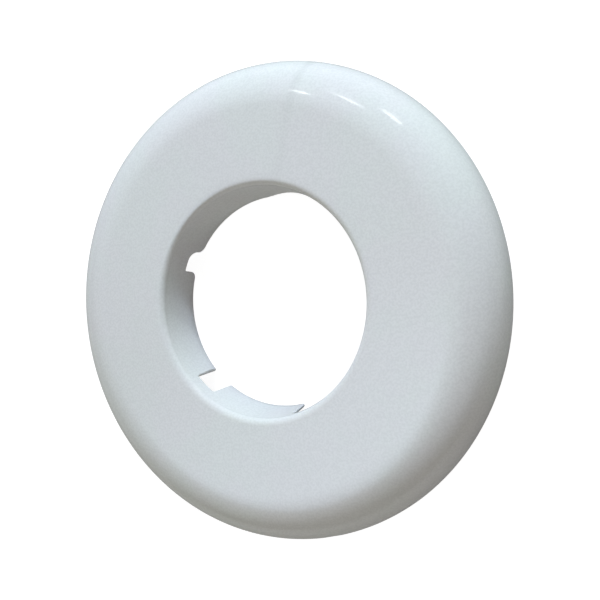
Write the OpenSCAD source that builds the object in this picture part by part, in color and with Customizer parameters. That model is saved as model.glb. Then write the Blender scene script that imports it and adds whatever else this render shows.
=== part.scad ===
// Wall rosette for a waste pipe, moulded in one piece. A thin shell with a flat front,
// a rounded rim and an open back covers the hole in the wall. Behind the pipe opening a
// tapered collar is cut into springy tongues that close on the pipe.
// The back edge of the rim lies on the wall at z = 0 and the front looks along +Z.
// Directions round the collar are counted anticlockwise from +X, seen from the front.

/* [Cover] */
// Outside diameter of the rim where it meets the wall
outer_d = 112; // [100:1:130]
// Height of the front face above the wall
face_h = 10.6; // [10:0.2:14]
// Width of the rounded rim, from the outer edge in to the flat front
rim_w = 11.6; // [9:0.2:14]
// Height of the straight lip that stands on the wall
lip_h = 0.5; // [0.2:0.1:1.5]
// Thickness of the front and the rim
shell_t = 1.5; // [1.2:0.1:1.8]

/* [Pipe opening] */
// Diameter of the opening where its rounded front edge ends
mouth_d = 53.2; // [51.5:0.1:56]
// Radius of the rounded front edge of the opening
mouth_edge_r = 1.4; // [0.8:0.1:1.8]

/* [Collar] */
// Diameter between the tips of the tongues, a little under the 50 mm of the pipe
tip_d = 49.6; // [48:0.1:50]
// Height of the straight land at the tips, which closes on the pipe
tip_land_h = 1.5; // [1:0.1:2.5]
// Radius of the inner edge of the tips
tip_edge_r = 0.2; // [0.1:0.05:0.4]
// Thickness of the tongues
collar_t = 0.7; // [0.6:0.1:1.2]
// Radius of the fillet between the collar and the back of the front face
root_fillet_r = 0.6; // [0.3:0.1:1]
// Radius of the sharper corners of the tongues and of the slots
corner_r = 0.4; // [0.2:0.1:0.6]

/* [Left tongue and its slots] */
// Direction of the tongue's upper edge
left_top = 161; // [157:0.2:165]
// Direction of the tongue's lower edge
left_bottom = 220.4; // [216:0.2:224]
// Width of the shallow slot above the tongue
shallow_slot_w = 5.2; // [3:0.1:6]
// Height of the shallow slot, from the tips
shallow_slot_h = 3.9; // [2.8:0.1:5]
// Radius of the tongue corners beside the shallow slot
soft_tip_r = 1.8; // [0.5:0.1:2.2]
// Radius in the bottom of the shallow slot, on the side of the upper tongue
soft_root_r = 2.2; // [0.3:0.1:2.4]
// Width of the deep slot below the tongue
deep_slot_w = 5.6; // [3:0.1:7]
// Height of the deep slot, from the tips
deep_slot_h = 6.7; // [5:0.1:7]

/* [Gaps beside the right tongue] */
// Direction in which the lower tongue ends and the lower gap begins
lower_end = 284; // [270:0.2:290]
// Radius of the lower tongue's soft corner at its end
end_corner_r = 2.4; // [0.3:0.1:3]
// Direction of the right tongue's lower edge
right_bottom = -20; // [-30:1:-10]
// Direction of the right tongue's upper edge
right_top = 40; // [30:1:45]
// Direction in which the upper tongue's ramp rises from the tips
ramp_foot = 94.2; // [90:0.2:104]
// Slope of the ramp
ramp_slope = 29; // [26:1:45]
// Height of collar left between a gap and the front face
gap_root_h = 0.9; // [0.4:0.1:2]

/* [Hidden] */
$fn = 96;

outer_r = outer_d / 2;
mouth_r = mouth_d / 2;
tip_r = tip_d / 2;
flat_r = outer_r - rim_w;
// Rise of the rounded rim from its lip to the front face
rim_rise = face_h - lip_h;
// The rim curves in a wide arc at the top and a tighter one at the side. They meet
// smoothly in one direction from their centres and lie close to a quarter ellipse.
top_arc_r = rim_w * rim_w / rim_rise;
side_arc_r = rim_rise * (rim_w + rim_rise) / (2 * rim_w);
arcs_meet_at = atan2((rim_w + rim_rise) / rim_rise, (2 * rim_w + rim_rise) / (2 * rim_w));
// Height at which the collar's wall meets the rounded front edge
wall_top = face_h - mouth_edge_r;
gap_h = face_h - shell_t - gap_root_h;
// How far a cutting shape runs past the surface that it leaves by
past = 2;
// How far the rim's top arc runs on under the flat front, as an angle
overlap = 10;
// The cuts reach from well inside the tips to outside the collar's root
cut_from_r = tip_r / 2;
cut_to_r = mouth_r + collar_t + root_fillet_r + past;
// Run of the ramp round the collar, from the tips to the top of the gap
ramp_run = gap_h / tan(ramp_slope);
// The ramp is cut square to the middle of its run
ramp_at = ramp_foot - asin(ramp_run / 2 / tip_r);

// Wedge of the plane from a corner, between two directions
module wedge(corner, from, to) {
    reach = 2 * outer_r;
    middle = (from + to) / 2;
    polygon([
        corner,
        corner + reach * [cos(from), sin(from)],
        corner + reach * [cos(middle), sin(middle)] / cos((to - from) / 2),
        corner + reach * [cos(to), sin(to)]
    ]);
}

// What the rounding of a square corner takes away, and a strip outside the corner
module corner_cut(r, strip = 0) {
    difference() {
        translate([-strip, -strip]) square(r + strip);
        translate([r, r]) circle(r);
    }
}

// Half section of the space under the cover's surface, moved inwards by a thickness.
// The tighter of the two arcs lies wholly inside the wider one, which ends where they meet.
module cover_outline(inset) {
    top_centre = [flat_r, face_h - top_arc_r];
    side_centre = [outer_r - side_arc_r, lip_h];
    top_is_wider = top_arc_r > side_arc_r;
    intersection() {
        square([outer_r, face_h]);
        union() {
            square([flat_r, face_h - inset]);
            square([outer_r - inset, lip_h]);
            intersection() {
                translate(top_centre) circle(top_arc_r - inset);
                wedge(top_centre, top_is_wider ? arcs_meet_at : 0, 90 + overlap);
            }
            intersection() {
                translate(side_centre) circle(side_arc_r - inset);
                wedge(side_centre, 0, top_is_wider ? 90 : arcs_meet_at);
            }
        }
    }
}

// Half section of the collar, from the tips of the tongues to the front face
module collar_outline() {
    difference() {
        polygon([
            [tip_r, 0],
            [tip_r, tip_land_h],
            [mouth_r, wall_top],
            [mouth_r, face_h],
            [mouth_r + collar_t, face_h],
            [mouth_r + collar_t, wall_top],
            [tip_r + collar_t, tip_land_h],
            [tip_r + collar_t, 0]
        ]);
        translate([tip_r, 0]) corner_cut(tip_edge_r, past);
    }
    root_fillet();
}

// Fillet in the corner between the collar's tapered outside and the back of the front.
// Its round is tangent to both, and its other edges lie sunk in them.
module root_fillet() {
    taper = atan2(mouth_r - tip_r, wall_top - tip_land_h);
    back = face_h - shell_t;
    wall_x = mouth_r + collar_t - (wall_top - back + root_fillet_r) * tan(taper);
    centre = [wall_x + root_fillet_r / cos(taper), back - root_fillet_r];
    sunk = collar_t / 2;
    difference() {
        polygon([
            centre,
            centre + (root_fillet_r + sunk) * [-cos(taper), sin(taper)],
            [wall_x - sunk, back + sunk],
            [centre[0], back + sunk]
        ]);
        translate(centre) circle(root_fillet_r);
    }
}

// Front, rim and collar as they are before the collar is slotted
module plain_moulding() {
    difference() {
        union() {
            difference() {
                rotate_extrude() cover_outline(0);
                rotate_extrude() cover_outline(shell_t);
                translate([0, 0, -past]) cylinder(h = past + lip_h / 2, r = outer_r - shell_t);
                cylinder(h = face_h + past, r = mouth_r);
            }
            rotate_extrude() collar_outline();
        }
        rotate_extrude()
            translate([mouth_r, face_h]) mirror([0, 1]) corner_cut(mouth_edge_r, past);
    }
}

// Carries an outline straight out through the collar. Seen from the axis, its x runs
// round the collar in the sense that directions are counted, and its y runs up.
module cut_through(at, from_r = cut_from_r) {
    rotate([0, 0, at])
        translate([from_r, 0, 0])
            rotate([90, 0, 90])
                linear_extrude(cut_to_r - from_r) children();
}

// Everything in the collar's wall between two directions, up to a gap's height
module sector_cut(from, to) {
    translate([0, 0, -past])
        linear_extrude(gap_h + past)
            intersection() {
                circle(cut_to_r);
                wedge([0, 0], from, to);
            }
}

// Outline of a slot that is open at the tips, with rounded tongue corners at its mouth
// and a rounding of its own on each side of its bottom
module slot_outline(w, h, mouth_corner_r, low_root_r, high_root_r) {
    // The corner cuts start inside the slot, so that they join it without a seam
    inside = w / 3;
    difference() {
        translate([-w / 2, -past]) square([w, h + past]);
        translate([-w / 2, h]) mirror([0, 1]) corner_cut(low_root_r);
        translate([w / 2, h]) rotate(180) corner_cut(high_root_r);
    }
    translate([w / 2, 0]) corner_cut(mouth_corner_r, inside);
    translate([-w / 2, 0]) mirror([1, 0]) corner_cut(mouth_corner_r, inside);
}

// Slot above the left tongue, between it and the upper tongue
module shallow_slot() {
    cut_through(left_top - asin(shallow_slot_w / tip_d))
        slot_outline(shallow_slot_w, shallow_slot_h, soft_tip_r, soft_root_r, corner_r);
}

// Slot below the left tongue, between it and the lower tongue
module deep_slot() {
    cut_through(left_bottom + asin(deep_slot_w / tip_d))
        slot_outline(deep_slot_w, deep_slot_h, corner_r, corner_r, corner_r);
}

// Gap from the end of the lower tongue, with its soft corner, to the right tongue. The
// end is cut square to the collar, by an outline that starts at the axis to reach round.
module lower_gap() {
    corner_run = asin(end_corner_r / tip_r);
    intersection() {
        sector_cut(lower_end - 2 * corner_run, right_bottom + 360);
        cut_through(lower_end, 0) {
            translate([0, -past]) square([outer_r, gap_h + 2 * past]);
            mirror([1, 0]) corner_cut(end_corner_r, past);
        }
    }
}

// Gap from the right tongue to the upper tongue, which ends in a ramp
module upper_gap() {
    beyond = past / tan(ramp_slope);
    intersection() {
        sector_cut(right_top, 2 * ramp_foot - ramp_at);
        cut_through(ramp_at)
            polygon([
                [ramp_run / 2 + beyond, -past],
                [-ramp_run / 2 - beyond, gap_h + past],
                [-outer_r, gap_h + past],
                [-outer_r, -past]
            ]);
    }
}

module rosette() {
    color([0.93, 0.94, 0.95])
        difference() {
            plain_moulding();
            shallow_slot();
            deep_slot();
            lower_gap();
            upper_gap();
        }
}

rosette();
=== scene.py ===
"""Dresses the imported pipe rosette: one glossy white moulding, photographed from its right."""

import logging
import math
from dataclasses import dataclass, field
from enum import Enum

import bpy
import numpy as np
from mathutils import Matrix, Vector


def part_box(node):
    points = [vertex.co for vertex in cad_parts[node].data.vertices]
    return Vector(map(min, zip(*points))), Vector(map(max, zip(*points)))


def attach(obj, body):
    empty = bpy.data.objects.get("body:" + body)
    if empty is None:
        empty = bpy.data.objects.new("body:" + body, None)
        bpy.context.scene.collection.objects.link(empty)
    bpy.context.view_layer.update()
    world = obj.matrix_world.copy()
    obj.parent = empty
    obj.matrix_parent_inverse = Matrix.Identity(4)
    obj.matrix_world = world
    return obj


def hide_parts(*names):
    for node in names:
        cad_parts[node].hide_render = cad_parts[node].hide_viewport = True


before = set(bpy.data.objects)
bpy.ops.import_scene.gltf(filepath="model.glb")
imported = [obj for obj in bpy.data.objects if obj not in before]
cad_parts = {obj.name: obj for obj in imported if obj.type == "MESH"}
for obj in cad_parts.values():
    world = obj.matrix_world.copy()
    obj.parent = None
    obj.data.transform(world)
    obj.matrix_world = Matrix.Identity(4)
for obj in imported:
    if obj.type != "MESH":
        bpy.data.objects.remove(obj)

LOG = logging.getLogger("rosette")
MM = 0.001
TINY = 1e-9


class Node(str, Enum):
    """Shader nodes that the finishes are built from."""

    COORDINATES = "ShaderNodeTexCoord"
    NOISE = "ShaderNodeTexNoise"
    MIX = "ShaderNodeMix"
    MATH = "ShaderNodeMath"
    VECTOR_MATH = "ShaderNodeVectorMath"
    MAP_RANGE = "ShaderNodeMapRange"
    SEPARATE = "ShaderNodeSeparateXYZ"
    BUMP = "ShaderNodeBump"
    PRINCIPLED = "ShaderNodeBsdfPrincipled"
    DIFFUSE = "ShaderNodeBsdfDiffuse"
    EMISSION = "ShaderNodeEmission"
    ADD_SHADER = "ShaderNodeAddShader"
    MIX_SHADER = "ShaderNodeMixShader"
    LIGHT_PATH = "ShaderNodeLightPath"
    BACKGROUND = "ShaderNodeBackground"
    OUTPUT = "ShaderNodeOutputMaterial"
    WORLD_OUTPUT = "ShaderNodeOutputWorld"


class Sense(Enum):
    """Which way a rounding of the collar's edge turns, seen from the axis."""

    TONGUE_ENDS = "tongue ends"
    TONGUE_BEGINS = "tongue begins"


class Shown(Enum):
    """Where a lamp shows: as the light that it throws, or mirrored in the gloss."""

    LIGHT = "light"
    GLOSS = "gloss"


@dataclass(frozen=True)
class Stretch:
    """One stretch of the collar's lower edge, with the columns of the mesh that reach it.

    A point lies at a direction from the axis, a distance across square to that
    direction, and a height up from the wall plane.
    """

    about: np.ndarray
    across: np.ndarray
    up: np.ndarray
    crown_from: float
    crown_to: float

    def crown(self) -> np.ndarray:
        """Directions at the top of the collar, shared out by length along the stretch."""
        along = np.hypot(np.diff(self.across), np.diff(self.up)) + np.abs(np.diff(self.about))
        share = np.concatenate([[0.0], np.cumsum(along)]) / max(along.sum(), TINY)
        return self.crown_from + (self.crown_to - self.crown_from) * share


@dataclass(frozen=True)
class CollarEdge:
    """The lower edge of the collar: tongues, slots, gaps and the ramp. Millimetres, degrees.

    A level stretch has a point every step of angle. The columns of the mesh that reach a
    tongue's corner spread out a little towards the top of the collar. A wide rounding has
    the second number of points, and a flank shorter than the least one is left out.
    """

    tip_radius: float = 24.8
    gap_top: float = 8.2
    right_tongue: tuple[float, float] = (-20.0, 40.0)
    ramp_foot: float = 94.2
    ramp_slope: float = 29.0
    left_tongue: tuple[float, float] = (161.0, 220.4)
    lower_end: float = 284.0
    end_corner: float = 2.4
    shallow_slot: tuple[float, float] = (5.2, 3.9)
    soft_tip: float = 1.75
    soft_root: float = 2.15
    deep_slot: tuple[float, float] = (5.6, 6.7)
    corner: float = 0.4
    step: float = 0.8
    spread: float = 1.2
    wide_round: float = 1.0
    round_points: tuple[int, int] = (6, 12)
    least_flank: float = 0.01

    def degrees_across(self, across: float) -> float:
        """Angle that a distance across takes up at the tips."""
        return math.degrees(math.asin(across / self.tip_radius))

    def run(self, start: float, end: float, up: float, crown: tuple[float, float]) -> Stretch:
        """A level stretch at one height, with a point every step of angle.

        Args:
            start: Direction in which it starts.
            end: Direction in which it ends.
            up: Its height.
            crown: First and last direction at the top of the collar.

        Returns:
            The stretch.
        """
        about = np.linspace(start, end, max(2, int(round((end - start) / self.step)) + 1))
        return Stretch(about, np.zeros_like(about), np.full_like(about, up), *crown)

    def arc(self, centre: tuple[float, float], radius: float, start: float,
            end: float) -> np.ndarray:
        """Points of a rounding: centre plus radius times the cosine and sine of an even angle.

        Args:
            centre: Across and up of its centre.
            radius: Its radius.
            start: First angle, in degrees.
            end: Last angle, in degrees.

        Returns:
            Points as rows of across and up.
        """
        few, many = self.round_points
        angle = np.radians(np.linspace(start, end, many if radius >= self.wide_round else few))
        return np.stack([centre[0] + radius * np.cos(angle), centre[1] + radius * np.sin(angle)], 1)

    def flank(self, about: float, side: float, top: float, tip_r: float, root_r: float,
              sense: Sense, crown: tuple[float, float]) -> Stretch:
        """One side of a tongue: its rounded corner, its straight flank and the root's rounding.

        Args:
            about: Direction that the flank is set out from.
            side: Distance of the flank across that direction.
            top: Height of the slot or gap beside it.
            tip_r: Radius of the tongue's corner.
            root_r: Radius at the root.
            sense: Whether the tongue ends or begins here, in the order of directions.
            crown: First and last direction at the top of the collar.

        Returns:
            The stretch, in the order of directions.
        """
        out = 1.0 if sense is Sense.TONGUE_ENDS else -1.0
        tip = self.arc((0.0, tip_r), tip_r, 270.0, 360.0) - [tip_r, 0.0]
        root = self.arc((root_r, top - root_r), root_r, 180.0, 90.0)
        straight = root[0, 1] - tip[-1, 1] > self.least_flank
        points = np.concatenate([tip, root if straight else root[1:]])
        points[:, 0] = side + out * points[:, 0]
        if sense is Sense.TONGUE_BEGINS:
            points = points[::-1]
        return Stretch(np.full(len(points), about), points[:, 0], points[:, 1], *crown)

    def stretches(self) -> list[Stretch]:
        """Every stretch once round the collar, in the order of directions.

        Returns:
            The stretches; each starts where the one before it ends.
        """
        begins, ends = Sense.TONGUE_BEGINS, Sense.TONGUE_ENDS
        c = self.corner
        d = self.degrees_across
        right_from, right_to = self.right_tongue
        left_from, left_to = self.left_tongue
        run = self.gap_top / math.tan(math.radians(self.ramp_slope))
        ramp_at = self.ramp_foot - d(run / 2)
        ramp_top = 2 * ramp_at - self.ramp_foot
        shallow_w, shallow_h = self.shallow_slot
        deep_w, deep_h = self.deep_slot
        shallow_at = left_from - d(shallow_w / 2)
        deep_at = left_to + d(deep_w / 2)
        upper_end = shallow_at - d(shallow_w / 2 + self.soft_tip)
        left_begin = shallow_at + d(shallow_w / 2 + self.soft_tip)
        left_end = deep_at - d(deep_w / 2 + c)
        lower_begin = deep_at + d(deep_w / 2 + c)
        shallow_root = (shallow_at + d(-shallow_w / 2 + self.soft_root),
                        shallow_at + d(shallow_w / 2 - c))
        deep_root = (deep_at - d(deep_w / 2 - c), deep_at + d(deep_w / 2 - c))
        s, e, top = self.spread, d(c), self.gap_top
        lower_flat = self.lower_end - d(self.end_corner)
        ramp_x = np.linspace(-run / 2, run / 2, int(2 * d(run / 2) / self.step))
        ramp_z = top * (run / 2 - ramp_x) / run
        return [
            self.flank(right_from, 0.0, top, c, c, begins, (right_from - e, right_from + e + s)),
            self.run(right_from + e, right_to - e, 0.0, (right_from + e + s, right_to - e - s)),
            self.flank(right_to, 0.0, top, c, c, ends, (right_to - e - s, right_to + e)),
            self.run(right_to + e, ramp_top, top, (right_to + e, ramp_top)),
            Stretch(np.full_like(ramp_x, ramp_at), ramp_x, ramp_z, ramp_top, self.ramp_foot),
            self.run(self.ramp_foot, upper_end, 0.0, (self.ramp_foot, upper_end - s)),
            self.flank(shallow_at, -shallow_w / 2, shallow_h, self.soft_tip, self.soft_root, ends,
                       (upper_end - s, shallow_root[0])),
            self.run(*shallow_root, shallow_h, shallow_root),
            self.flank(shallow_at, shallow_w / 2, shallow_h, self.soft_tip, c, begins,
                       (shallow_root[1], left_begin + s)),
            self.run(left_begin, left_end, 0.0, (left_begin + s, left_end - s)),
            self.flank(deep_at, -deep_w / 2, deep_h, c, c, ends, (left_end - s, deep_root[0])),
            self.run(*deep_root, deep_h, deep_root),
            self.flank(deep_at, deep_w / 2, deep_h, c, c, begins, (deep_root[1], lower_begin + s)),
            self.run(lower_begin, lower_flat, 0.0, (lower_begin + s, lower_flat - s)),
            self.flank(self.lower_end, 0.0, top, self.end_corner, c, ends,
                       (lower_flat - s, self.lower_end + e)),
            self.run(self.lower_end + e, right_from + 360 - e, top,
                     (self.lower_end + e, right_from + 360 - e)),
        ]

    def columns(self) -> dict[str, np.ndarray]:
        """All stretches joined into one ring of columns, with the edge's outward direction.

        Returns:
            Arrays about, across, up, crown, and the parts of the direction that points
            out of the tongues, in the wall's own surface: away_across and away_up.
        """
        parts = self.stretches()
        about = np.concatenate([p.about[:-1] for p in parts])
        across = np.concatenate([p.across[:-1] for p in parts])
        up = np.concatenate([p.up[:-1] for p in parts])
        crown = np.concatenate([p.crown()[:-1] for p in parts])
        along = np.radians(about) * self.tip_radius + across
        d_along = np.roll(along, -1) - np.roll(along, 1)
        turn = 2 * math.pi * self.tip_radius
        d_along = d_along - turn * np.round(d_along / turn)
        d_up = np.roll(up, -1) - np.roll(up, 1)
        length = np.maximum(np.hypot(d_along, d_up), TINY)
        return {"about": about, "across": across, "up": up, "crown": crown,
                "away_across": d_up / length, "away_up": -d_along / length}


class NodeTree:
    """A short way to write a shader's node tree."""

    def __init__(self, tree: bpy.types.NodeTree) -> None:
        """Empties the tree and keeps it."""
        self.tree = tree
        self.tree.nodes.clear()

    def add(self, kind: Node, settings: dict | None = None, **inputs: object) -> bpy.types.Node:
        """Adds a node.

        Args:
            kind: The node's type.
            settings: Its own settings, by name.
            **inputs: What goes into its inputs, by the input's name with underscores for
                spaces, or by i and its number. An output is linked and a value is set.

        Returns:
            The node.
        """
        node = self.tree.nodes.new(kind.value)
        for name, value in (settings or {}).items():
            setattr(node, name, value)
        for name, value in inputs.items():
            numbered = name[0] == "i" and name[1:].isdigit()
            socket = node.inputs[int(name[1:]) if numbered else name.replace("_", " ")]
            if isinstance(value, bpy.types.NodeSocket):
                self.tree.links.new(value, socket)
            else:
                socket.default_value = value
        return node

    def math(self, operation: str, first: object, second: object = 0.0,
             third: object = 0.0) -> bpy.types.NodeSocket:
        """Adds a node of arithmetic and returns its result."""
        return self.add(Node.MATH, {"operation": operation}, i0=first, i1=second, i2=third).outputs[0]

    def noise(self, place: object, scale: float, detail: float) -> bpy.types.NodeSocket:
        """Adds a soft noise between 0 and 1 and returns its result."""
        return self.add(Node.NOISE, Vector=place, Scale=scale, Detail=detail).outputs[0]

    def spread(self, value: object, low: tuple[float, float],
               high: tuple[float, float]) -> bpy.types.NodeSocket:
        """Carries a value from one range to another with soft ends.

        Args:
            value: The value.
            low: Where the range starts, and what it becomes there.
            high: Where the range ends, and what it becomes there.

        Returns:
            The result.
        """
        node = self.add(Node.MAP_RANGE, {"interpolation_type": "SMOOTHSTEP"}, Value=value,
                        From_Min=low[0], From_Max=high[0], To_Min=low[1], To_Max=high[1])
        return node.outputs[0]


@dataclass(frozen=True)
class PlasticFinish:
    """Glossy white moulded plastic, a little cool, with the traces of its moulding.

    Two streams of plastic met above the opening and left a faint crease, and a soft darker
    line of painted shade shows it. It runs straight out over the front and the rim, a little
    aside of the axis. The colour drifts between two whites, has a fine grain, and the gloss
    is a little uneven. Each noise is given by its repeats per metre and its detail, and a
    range says between which of its values it has its effect.
    """

    name: str = "white_gloss_plastic"
    colour: tuple[float, float, float] = (0.868, 0.88, 0.876)
    second_white: tuple[float, float, float] = (0.878, 0.869, 0.882)
    drift_noise: tuple[float, float] = (60.0, 4.0)
    drift_range: tuple[float, float] = (0.38, 0.62)
    noise_range: tuple[float, float] = (0.3, 0.7)
    grain_shade: float = 0.93
    grain_noise: tuple[float, float] = (2000.0, 1.0)
    roughness: tuple[float, float] = (0.05, 0.075)
    gloss_noise: tuple[float, float] = (240.0, 2.0)
    bump_height: float = 0.004 * MM
    bump_noise: tuple[float, float] = (1100.0, 2.0)
    ior: float = 1.5
    # Painted shade: the colour is darkened by this factor along the weld line's faint crease.
    weld_crease_painted_shade: float = 0.93
    weld_direction: float = 74.7
    weld_aside: float = -1.3 * MM
    weld_widths: tuple[float, float] = (2.4 * MM, 1.7 * MM)
    weld_strengths: tuple[float, float] = (0.32, 1.0)
    weld_grows: tuple[float, float] = (40.0 * MM, 53.0 * MM)
    weld_wander: float = 1.0 * MM
    weld_noise: tuple[float, float] = (160.0, 2.0)

    def weld_crease_shade(self, tree: NodeTree, place: bpy.types.NodeSocket) -> bpy.types.NodeSocket:
        """Strength of the painted shade on the weld line's crease: a soft band along one direction,
        aside of the axis.

        Args:
            tree: The tree to add to.
            place: The place on the object.

        Returns:
            0 away from the line and up to 1 on it. On the rim it is narrower and stronger.
        """
        axes = tree.add(Node.SEPARATE, Vector=place).outputs
        turn = math.radians(self.weld_direction)
        aside = tree.math("SUBTRACT", tree.math("MULTIPLY", axes[0], math.sin(turn)),
                          tree.math("MULTIPLY", axes[1], math.cos(turn)))
        along = tree.math("ADD", tree.math("MULTIPLY", axes[0], math.cos(turn)),
                          tree.math("MULTIPLY", axes[1], math.sin(turn)))
        start, end = self.weld_grows
        width = tree.spread(along, (start, self.weld_widths[0]), (end, self.weld_widths[1]))
        strength = tree.spread(along, (start, self.weld_strengths[0]), (end, self.weld_strengths[1]))
        wander = tree.math("MULTIPLY_ADD", tree.noise(place, *self.weld_noise),
                           self.weld_wander, -self.weld_wander / 2)
        middle = tree.math("SUBTRACT", tree.math("ADD", aside, wander), self.weld_aside)
        share = tree.math("DIVIDE", tree.math("ABSOLUTE", middle), width)
        band = tree.spread(share, (0.0, 1.0), (1.0, 0.0))
        ahead = tree.math("GREATER_THAN", along, 0.0)
        return tree.math("MULTIPLY", tree.math("MULTIPLY", band, strength), ahead)

    def build(self) -> bpy.types.Material:
        """Makes the node tree.

        Returns:
            The material.
        """
        material = bpy.data.materials.new(self.name)
        material.use_nodes = True
        tree = NodeTree(material.node_tree)
        place = tree.add(Node.COORDINATES).outputs["Object"]
        low, high = self.drift_range
        drift = tree.spread(tree.noise(place, *self.drift_noise), (low, 0.0), (high, 1.0))
        white = tree.add(Node.MIX, {"data_type": "RGBA"}, i0=drift, i6=(*self.colour, 1.0),
                         i7=(*self.second_white, 1.0)).outputs[2]
        low, high = self.noise_range
        grain = tree.spread(tree.noise(place, *self.grain_noise), (low, 1.0),
                            (high, self.grain_shade))
        # Painted shade of the weld line's crease, darkened into the base colour.
        weld_crease_shade = tree.math("MULTIPLY_ADD", self.weld_crease_shade(tree, place), self.weld_crease_painted_shade - 1.0, 1.0)
        base = tree.add(Node.VECTOR_MATH, {"operation": "SCALE"}, i0=white,
                        Scale=tree.math("MULTIPLY", grain, weld_crease_shade)).outputs[0]
        gloss = tree.spread(tree.noise(place, *self.gloss_noise), (low, self.roughness[0]),
                            (high, self.roughness[1]))
        bump = tree.add(Node.BUMP, Strength=1.0, Distance=self.bump_height,
                        Height=tree.noise(place, *self.bump_noise)).outputs[0]
        shader = tree.add(Node.PRINCIPLED, Base_Color=base, Roughness=gloss, IOR=self.ior,
                          Normal=bump)
        tree.add(Node.OUTPUT, Surface=shader.outputs[0])
        return material


@dataclass(frozen=True)
class Moulding:
    """The whole rosette as one closed surface. Sizes in millimetres.

    The last fields say how many points the roundings, the flats and the wall have. Where
    there are two, the first is that of the outer surface.
    """

    outer_radius: float
    height: float
    rim_width: float = 11.6
    lip: float = 0.5
    shell: float = 1.5
    mouth_radius: float = 26.6
    mouth_round: float = 1.4
    mouth_fade: float = 1.85
    tip_land: float = 1.5
    tip_blend: float = 0.4
    collar_wall: float = 0.7
    root_fillet: float = 0.6
    inner_edge_round: float = 0.3
    outer_edge_round: float = 0.3
    lip_edge_round: float = 0.15
    edge: CollarEdge = field(default_factory=CollarEdge)
    mouth_points: int = 16
    rim_points: tuple[int, int] = (15, 10)
    flat_points: tuple[int, int] = (9, 6)
    fillet_points: int = 7
    round_points: int = 5
    wall_points: tuple[int, int] = (13, 22)

    @property
    def wall_top(self) -> float:
        """Height at which the collar's wall meets the rounded front edge."""
        return self.height - self.mouth_round

    def wall_radius(self, z: np.ndarray) -> np.ndarray:
        """Radius of the collar's inside: the tip radius, then a straight taper to the mouth.

        Args:
            z: Heights.

        Returns:
            Radii. The two lines are blended round their meeting.
        """
        tip, blend = self.edge.tip_radius, self.tip_blend
        slope = (self.mouth_radius - tip) / (self.wall_top - self.tip_land)
        rise = np.asarray(z) - self.tip_land
        full = self.wall_top - self.tip_land
        soft = 0.5 * (rise + np.sqrt(rise * rise + blend * blend))
        return tip + slope * soft * full / (0.5 * (full + math.hypot(full, blend)))

    @staticmethod
    def level(start: float, end: float, height: float, count: int) -> np.ndarray:
        """Points of a level line in the half section, without its two ends.

        Args:
            start: Radius at which it starts.
            end: Radius at which it ends.
            height: Its height.
            count: Number of points, with the ends.

        Returns:
            Points as rows of radius and height.
        """
        radius = np.linspace(start, end, count)[1:-1]
        return np.stack([radius, np.full_like(radius, height)], 1)

    @staticmethod
    def bend(centre: tuple[float, float], radius: float, start: float, end: float,
             count: int) -> np.ndarray:
        """Points of a circular arc in the half section, at even angles.

        Args:
            centre: Radius and height of its centre.
            radius: Its own radius.
            start: First angle, in degrees.
            end: Last angle, in degrees.
            count: Number of points.

        Returns:
            Points as rows of radius and height.
        """
        angle = np.radians(np.linspace(start, end, count))
        return np.stack([centre[0] + radius * np.cos(angle), centre[1] + radius * np.sin(angle)], 1)

    def rim_arcs(self, inset: float, count: int) -> np.ndarray:
        """The rounded rim, from the flat front out and down to the lip.

        Two arcs that meet smoothly and lie close to a quarter ellipse: a wide one under
        the flat front and a tighter one above the lip, both moved inwards by an inset.

        Args:
            inset: Distance under the outer surface.
            count: Points on each arc.

        Returns:
            Points as rows of radius and height.
        """
        width, rise = self.rim_width, self.height - self.lip
        wide = width * width / rise
        tight = rise * (width + rise) / (2 * width)
        meet = math.degrees(math.atan2((width + rise) / rise, (2 * width + rise) / (2 * width)))
        top_centre = (self.outer_radius - width, self.height - wide)
        side_centre = (self.outer_radius - tight, self.lip)
        top = self.bend(top_centre, wide - inset, 90.0, meet, count)
        side = self.bend(side_centre, tight - inset, meet, 0.0, count)
        return np.concatenate([top, side[1:]])

    def shell_section(self) -> np.ndarray:
        """Half section from the mouth, over the front and the rim, to the root of the collar.

        The mouth's edge is a quarter ellipse: it fades out on the front a little further
        than it goes down into the opening.

        Returns:
            Points as rows of radius and height, in order.
        """
        r, flat = self.outer_radius, self.outer_radius - self.rim_width
        quarter = self.bend((0.0, 0.0), 1.0, 180.0, 90.0, self.mouth_points)
        mouth = (np.array([self.mouth_radius + self.mouth_fade, self.wall_top])
                 + np.array([self.mouth_fade, self.mouth_round]) * quarter)
        front = self.level(mouth[-1, 0], flat, self.height, self.flat_points[0])
        rim = self.rim_arcs(0.0, self.rim_points[0])
        e = self.lip_edge_round
        low_out = self.bend((r - e, e), e, 0.0, -90.0, self.round_points)
        low_in = self.bend((r - self.shell + e, e), e, 270.0, 180.0, self.round_points)
        inside = self.rim_arcs(self.shell, self.rim_points[1])[::-1]
        back = self.height - self.shell
        taper = math.atan2(self.mouth_radius - self.edge.tip_radius, self.wall_top - self.tip_land)
        f = self.root_fillet
        wall_x = (self.mouth_radius + self.collar_wall
                  - (self.wall_top - back + f) * math.tan(taper))
        centre = (wall_x + f / math.cos(taper), back - f)
        fillet = self.bend(centre, f, 90.0, 180.0 - math.degrees(taper), self.fillet_points)
        inner_flat = self.level(flat, fillet[0, 0], back, self.flat_points[1])
        return np.concatenate([mouth, front, rim, low_out, low_in, inside, inner_flat, fillet])

    def surface(self) -> np.ndarray:
        """The closed surface as a grid of points, in millimetres.

        Rows go round the section and columns round the axis. Each shell row is a circle.
        In the collar a point is blended, by its row, from the top of the wall to the edge,
        and the edge itself is carried through the wall with a rounding on each side.

        Returns:
            Array of rows, columns and x, y, z.
        """
        ring = self.edge.columns()
        crown = np.radians(ring["crown"])[None, :]

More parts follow.
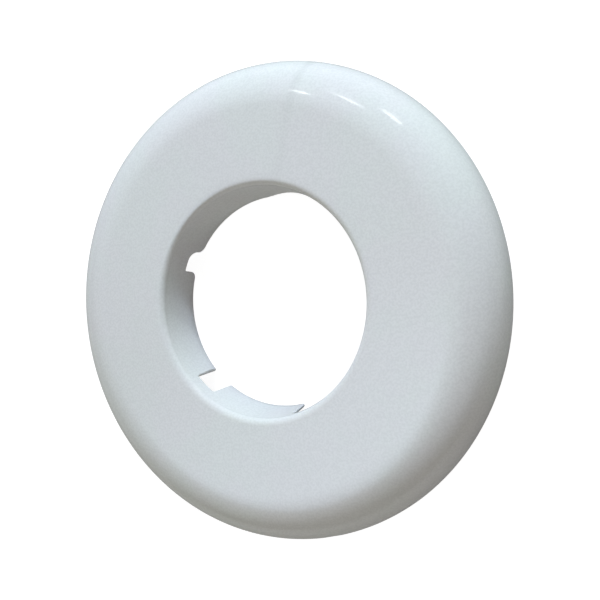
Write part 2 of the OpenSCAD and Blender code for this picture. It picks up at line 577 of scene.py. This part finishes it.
        def placed(radius: np.ndarray, angle: np.ndarray, z: np.ndarray) -> np.ndarray:
            """Points from radius, angle in radians and height."""
            radius, angle, z = np.broadcast_arrays(radius, angle, z)
            return np.stack([radius * np.cos(angle), radius * np.sin(angle), z], -1)

        def at_edge(sunk: np.ndarray, depth: np.ndarray) -> tuple[np.ndarray, ...]:
            """Radius, angle and height of the edge, drawn back into the wall and set deeper."""
            across = ring["across"][None, :] - sunk[:, None] * ring["away_across"][None, :]
            z = ring["up"][None, :] - sunk[:, None] * ring["away_up"][None, :]
            radius = self.wall_radius(z) + depth[:, None]
            angle = np.radians(ring["about"])[None, :] + np.arcsin(across / radius)
            return radius, angle, z

        section = self.shell_section()
        shell = placed(section[:, 0:1], crown, section[:, 1:2])

        def wall(depth: float, sunk: float, top: float, share: np.ndarray) -> np.ndarray:
            """Rows of the collar's wall, from its top down to the rounding of its edge."""
            _, angle, z = at_edge(np.array([sunk]), np.array([depth]))
            t = share[:, None]
            height = top + (z - top) * t
            return placed(self.wall_radius(height) + depth, crown + (angle - crown) * t, height)

        a = np.radians(np.linspace(0.0, 90.0, self.round_points))
        ri, ro, w = self.inner_edge_round, self.outer_edge_round, self.collar_wall
        sunk = np.concatenate([ro * (1 - np.sin(a)), ri * (1 - np.cos(a))])
        depth = np.concatenate([w - ro * (1 - np.cos(a)), ri * (1 - np.sin(a))])
        edge = placed(*at_edge(sunk, depth))
        down = np.linspace(0.0, 1.0, self.wall_points[0])[1:-1]
        back_up = np.linspace(1.0, 0.0, self.wall_points[1])[1:-1]
        outside = wall(w, ro, section[-1, 1], down)
        inside = wall(0.0, ri, self.wall_top, back_up)
        return np.concatenate([shell, outside, edge, inside])

    def build(self, name: str) -> bpy.types.Object:
        """Makes the mesh object.

        Args:
            name: Name of the object.

        Returns:
            The object, at the origin, in metres.
        """
        points = self.surface() * MM
        rows, columns = points.shape[:2]
        index = np.arange(rows * columns).reshape(rows, columns)
        right, below = np.roll(index, -1, 1), np.roll(index, -1, 0)
        diagonal = np.roll(below, -1, 1)
        quads = np.stack([index, below, diagonal, right], -1).reshape(-1, 4)
        mesh = bpy.data.meshes.new(name)
        mesh.vertices.add(rows * columns)
        mesh.vertices.foreach_set("co", points.astype(np.float32).ravel())
        mesh.loops.add(quads.size)
        mesh.loops.foreach_set("vertex_index", quads.astype(np.int32).ravel())
        mesh.polygons.add(len(quads))
        mesh.polygons.foreach_set("loop_start", np.arange(0, quads.size, 4, dtype=np.int32))
        mesh.polygons.foreach_set("use_smooth", np.ones(len(quads), dtype=bool))
        mesh.update()
        mesh.validate()
        piece = bpy.data.objects.new(name, mesh)
        bpy.context.scene.collection.objects.link(piece)
        return piece


def direction(azimuth: float, elevation: float) -> Vector:
    """Unit vector from the rosette, from two angles in degrees."""
    a, e = math.radians(azimuth), math.radians(elevation)
    return Vector((math.cos(e) * math.cos(a), math.cos(e) * math.sin(a), math.sin(e)))


@dataclass(frozen=True)
class Viewpoint:
    """The camera, from the tilt and the distance that the rosette's ellipses give.

    Tilt and turn are in radians. Distance and offset are in outer radii of the rosette.
    """

    tilt: float = 0.49288
    turn: float = 0.04957
    distance: float = 3.989
    offset: tuple[float, float] = (-0.08354, -0.00371)
    focal_px: float = 942.0
    picture_px: float = 600.0
    sensor_mm: float = 36.0
    clip_start: float = 0.01

    def build(self, outer_radius: float) -> bpy.types.Object:
        """Makes the camera and sets it as the scene's.

        Args:
            outer_radius: The rosette's outer radius in metres, the unit of the distances.

        Returns:
            The camera.
        """
        normal = Vector((-math.sin(self.tilt) * math.cos(self.turn),
                         -math.sin(self.tilt) * math.sin(self.turn), math.cos(self.tilt)))
        across = Vector((math.cos(self.tilt) * math.cos(self.turn),
                         math.cos(self.tilt) * math.sin(self.turn), math.sin(self.tilt)))
        up = normal.cross(across)
        seen = Matrix((across, up, normal))
        place = seen @ Vector((-self.offset[0], -self.offset[1], self.distance)) * outer_radius
        data = bpy.data.cameras.new("viewpoint")
        data.sensor_width = self.sensor_mm
        data.lens = self.focal_px / self.picture_px * self.sensor_mm
        data.clip_start = self.clip_start
        camera = bpy.data.objects.new("viewpoint", data)
        camera.matrix_world = Matrix.Translation(place) @ seen.to_4x4()
        bpy.context.scene.collection.objects.link(camera)
        bpy.context.scene.camera = camera
        return camera


@dataclass(frozen=True)
class Lamp:
    """A rectangular lamp that looks at the rosette. Degrees and metres."""

    name: str
    azimuth: float
    elevation: float
    size: tuple[float, float]
    radiance: tuple[float, float, float]
    shown: Shown = Shown.LIGHT
    roll: float = 0.0
    distance: float = 1.2

    def build(self) -> bpy.types.Object:
        """Makes the lamp, facing the origin.

        Returns:
            The lamp. Its power is its radiance times its area times pi.
        """
        way = direction(self.azimuth, self.elevation)
        data = bpy.data.lights.new(self.name, "AREA")
        data.shape = "RECTANGLE"
        data.size, data.size_y = self.size
        peak = max(self.radiance)
        data.energy = peak * self.size[0] * self.size[1] * math.pi
        data.color = [value / peak for value in self.radiance]
        lamp = bpy.data.objects.new(self.name, data)
        lamp.matrix_world = (Matrix.Translation(way * self.distance)
                             @ way.to_track_quat("Z", "Y").to_matrix().to_4x4()
                             @ Matrix.Rotation(math.radians(self.roll), 4, "Z"))
        lamp.visible_diffuse = self.shown is Shown.LIGHT
        lamp.visible_glossy = self.shown is Shown.GLOSS
        bpy.context.scene.collection.objects.link(lamp)
        return lamp


@dataclass(frozen=True)
class Sheen:
    """A broad soft light in the surroundings that only the gloss mirrors. Degrees."""

    azimuth: float
    elevation: float
    radiance: tuple[float, float, float]
    reach: float = 25.0

    def build(self, tree: NodeTree, way: bpy.types.NodeSocket,
              seen: bpy.types.NodeSocket) -> bpy.types.NodeSocket:
        """Adds it to the surroundings: brightest in its direction and gone at its reach.

        Args:
            tree: The tree to add to.
            way: The direction in which the surroundings are seen.
            seen: 1 where a ray shows it, else 0.

        Returns:
            Its shader.
        """
        near = tree.add(Node.VECTOR_MATH, {"operation": "DOT_PRODUCT"}, i0=way,
                        i1=direction(self.azimuth, self.elevation)).outputs["Value"]
        share = tree.spread(near, (math.cos(math.radians(self.reach)), 0.0), (1.0, 1.0))
        peak = max(self.radiance)
        strength = tree.math("MULTIPLY", tree.math("MULTIPLY", share, peak), seen)
        colour = tuple(value / peak for value in self.radiance)
        return tree.add(Node.BACKGROUND, Color=(*colour, 1.0), Strength=strength).outputs[0]


@dataclass(frozen=True)
class Studio:
    """The floor, the surroundings with their sheens, and the lamps.

    To the camera the surroundings are white. All else sees them at their own strength.
    """

    floor_side: float = 6.0
    floor_shade: float = 0.25
    floor_glow: float = 0.95
    floor_in_gloss: float = 0.2
    surroundings: float = 0.08
    sheens: tuple[Sheen, ...] = ()
    lamps: tuple[Lamp, ...] = ()

    def build_floor(self) -> bpy.types.Object:
        """Lays the floor that the rosette lies on.

        Returns:
            The floor. Seen by the camera it is white, with the rosette's shadow; a
            reflection shows it paler than its surroundings; it throws little light back.
        """
        half = self.floor_side / 2
        mesh = bpy.data.meshes.new("floor")
        mesh.from_pydata([(-half, -half, 0), (half, -half, 0), (half, half, 0), (-half, half, 0)],
                         [], [(0, 1, 2, 3)])
        floor = bpy.data.objects.new("floor", mesh)
        bpy.context.scene.collection.objects.link(floor)
        material = bpy.data.materials.new("pale_floor")
        material.use_nodes = True
        tree = NodeTree(material.node_tree)
        ray = tree.add(Node.LIGHT_PATH).outputs
        seen = tree.math("MAXIMUM", ray["Is Camera Ray"], ray["Is Transmission Ray"])
        shown = tree.math("MAXIMUM", tree.math("MULTIPLY", seen, self.floor_glow),
                          tree.math("MULTIPLY", ray["Is Glossy Ray"], self.floor_in_gloss))
        matt = tree.add(Node.DIFFUSE, Color=(self.floor_shade,) * 3 + (1.0,))
        glow = tree.add(Node.EMISSION, Strength=shown)
        both = tree.add(Node.ADD_SHADER, i0=matt.outputs[0], i1=glow.outputs[0])
        tree.add(Node.OUTPUT, Surface=both.outputs[0])
        mesh.materials.append(material)
        return floor

    def build_world(self) -> None:
        """Sets a plain even surround with its sheens. To the camera it is white."""
        world = bpy.data.worlds.new("surroundings")
        bpy.context.scene.world = world
        world.use_nodes = True
        tree = NodeTree(world.node_tree)
        ray = tree.add(Node.LIGHT_PATH).outputs
        way = tree.add(Node.COORDINATES).outputs["Generated"]
        around = tree.add(Node.BACKGROUND, Strength=self.surroundings).outputs[0]
        for sheen in self.sheens:
            soft = sheen.build(tree, way, ray["Is Glossy Ray"])
            around = tree.add(Node.ADD_SHADER, i0=around, i1=soft).outputs[0]
        white = tree.add(Node.BACKGROUND, Color=(1.0, 1.0, 1.0, 1.0), Strength=1.0)
        seen = tree.math("MAXIMUM", ray["Is Camera Ray"], ray["Is Transmission Ray"])
        mix = tree.add(Node.MIX_SHADER, i0=seen, i1=around, i2=white.outputs[0])
        tree.add(Node.WORLD_OUTPUT, Surface=mix.outputs[0])

    def build(self) -> None:
        """Builds the floor, the surroundings and every lamp."""
        self.build_floor()
        self.build_world()
        for lamp in self.lamps:
            lamp.build()


SHEENS = (
    Sheen(225.0, 60.0, (1.47, 1.75, 2.15)),
    Sheen(270.0, 70.0, (0.5, 0.73, 0.7)),
)
SMALL = (0.08, 0.08)
SOFT = (0.16, 0.16)
NEAR = (0.2, 0.2)
PANEL = (0.5, 0.42)
LAMPS = (
    Lamp("key", 88.0, 33.0, SMALL, (253.0, 278.0, 312.0)),
    Lamp("key_left", 98.0, 30.0, SMALL, (239.0, 261.0, 277.0)),
    Lamp("key_right", 70.0, 20.0, SOFT, (16.8, 22.3, 33.6)),
    Lamp("near_front", 324.0, 46.0, NEAR, (1.9, 1.9, 1.25), distance=0.5),
    Lamp("near_right", 0.0, 30.0, NEAR, (1.75, 1.55, 1.9), distance=0.5),
    Lamp("front_left", 240.0, 24.0, PANEL, (3.9, 3.9, 3.7)),
    Lamp("left", 180.0, 24.0, PANEL, (3.15, 3.25, 2.85)),
    Lamp("low_right", 60.0, 7.0, PANEL, (3.2, 4.2, 2.25)),
    Lamp("glint_left", 116.3, 44.7, (0.105, 0.05), (9.0, 9.0, 9.0), Shown.GLOSS, -77.0),
    Lamp("glint_middle", 95.8, 41.6, (0.136, 0.067), (6.8, 6.8, 6.8), Shown.GLOSS, -50.0),
    Lamp("glint_middle_end", 92.3, 39.5, (0.105, 0.04), (2.6, 2.6, 2.6), Shown.GLOSS, -43.0),
    Lamp("glint_middle_start", 100.5, 38.0, (0.105, 0.042), (2.0, 2.0, 2.0), Shown.GLOSS, 66.0),
    Lamp("glint_right", 74.8, 32.6, (0.15, 0.13), (5.5, 5.5, 5.5), Shown.GLOSS, -27.0),
    Lamp("glint_right_end", 72.1, 26.7, (0.109, 0.015), (8.0, 8.0, 8.0), Shown.GLOSS, -39.0),
)


def main() -> None:
    """Builds the rosette and its studio, and reports each piece."""
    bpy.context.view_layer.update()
    low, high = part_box("rosette")
    outer_radius = (high.x - low.x) / 2
    moulding = Moulding(outer_radius / MM, high.z / MM)
    piece = moulding.build("rosette_moulding")
    piece.data.materials.append(PlasticFinish().build())
    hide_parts("rosette")
    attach(piece, "root")
    LOG.info("%s: %d faces", piece.name, len(piece.data.polygons))
    Viewpoint().build(outer_radius)
    Studio(sheens=SHEENS, lamps=LAMPS).build()
    scene = bpy.context.scene
    scene.view_settings.view_transform = "Standard"


if __name__ == "__main__":
    logging.basicConfig(level=logging.INFO, format="%(name)s: %(message)s")
    main()
